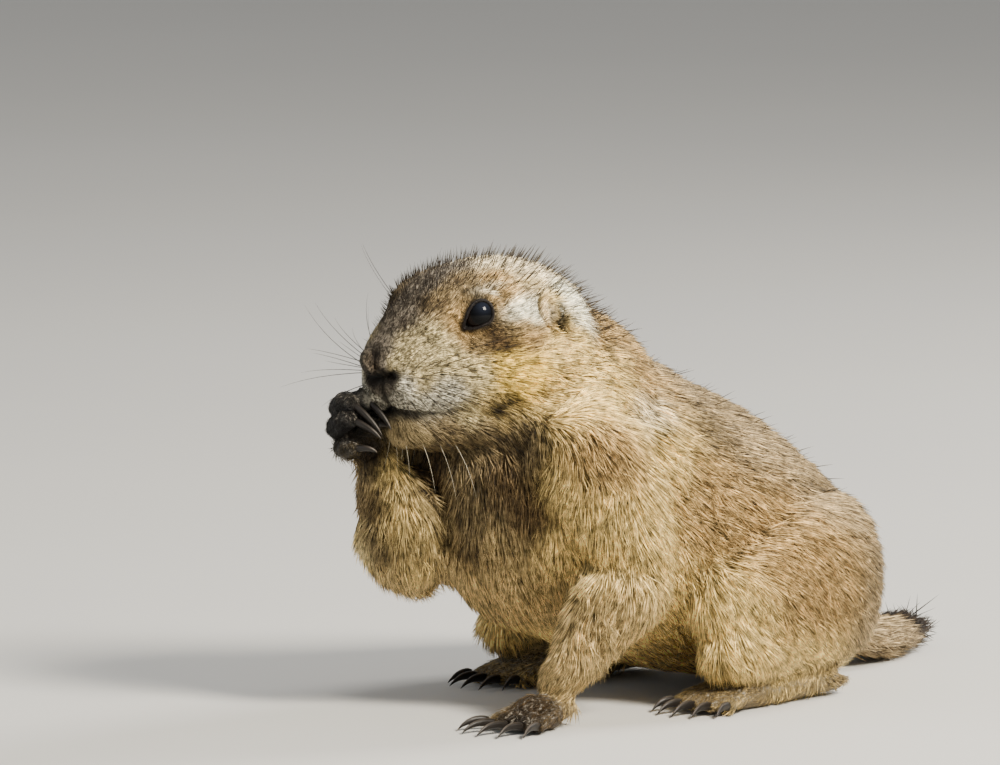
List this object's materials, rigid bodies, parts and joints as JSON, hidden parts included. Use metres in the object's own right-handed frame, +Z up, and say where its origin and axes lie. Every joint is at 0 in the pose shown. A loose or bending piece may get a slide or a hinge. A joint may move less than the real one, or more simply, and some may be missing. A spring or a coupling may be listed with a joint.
{
  "type": "prairie dog",
  "caption": "Life-size black-tailed prairie dog sitting on its haunches, one forepaw on the floor and the other raised to its mouth.",
  "frame": {"origin": "on the floor, at the middle of the animal's bounding box", "axes": "+Z up, the animal faces -Y, its left side is towards +X and its tail towards +Y"},
  "size_m": [0.111, 0.245, 0.1283],
  "materials": {
    "fur": "short dense coat, tan and brown, grizzled with dark hair tips",
    "pale_fur": "short pale buff coat of the chin and forearms",
    "paw_fur": "very short coat of hands and feet, dark with soil on the raised hand",
    "tail_fur": "short bushy black-tipped tail hair",
    "claw": "dark horn, worn paler along the top",
    "eye": "wet black eye",
    "bare_skin": "dark bare skin of the nose and lid rims"
  },
  "bodies": {
    "root": {"eye_left": "eye", "eyelids_left": "bare_skin", "ear_left": "fur", "eye_right": "eye", "eyelids_right": "bare_skin", "ear_right": "fur", "nose": "bare_skin", "head": "fur", "lower_jaw": "pale_fur", "chest": "fur", "belly": "fur", "rump": "fur", "neck": "fur", "upper_arm_left": "fur", "forearm_left": "pale_fur", "upper_arm_right": "fur", "forearm_right": "pale_fur", "hand_right": "paw_fur", "claw_hand_right_1": "claw", "claw_hand_right_2": "claw", "claw_hand_right_3": "claw", "claw_hand_right_4": "claw", "claw_hand_right_5": "claw", "hand_left": "paw_fur", "claw_hand_left_1": "claw", "claw_hand_left_2": "claw", "claw_hand_left_3": "claw", "claw_hand_left_4": "claw", "claw_hand_left_5": "claw", "thigh_left": "fur", "shank_left": "pale_fur", "foot_left": "paw_fur", "claw_foot_left_1": "claw", "claw_foot_left_2": "claw", "claw_foot_left_3": "claw", "claw_foot_left_4": "claw", "claw_foot_left_5": "claw", "thigh_right": "fur", "shank_right": "pale_fur", "foot_right": "paw_fur", "claw_foot_right_1": "claw", "claw_foot_right_2": "claw", "claw_foot_right_3": "claw", "claw_foot_right_4": "claw", "claw_foot_right_5": "claw", "tail_base": "fur", "tail_tip": "tail_fur"}
  },
  "joints": []
}
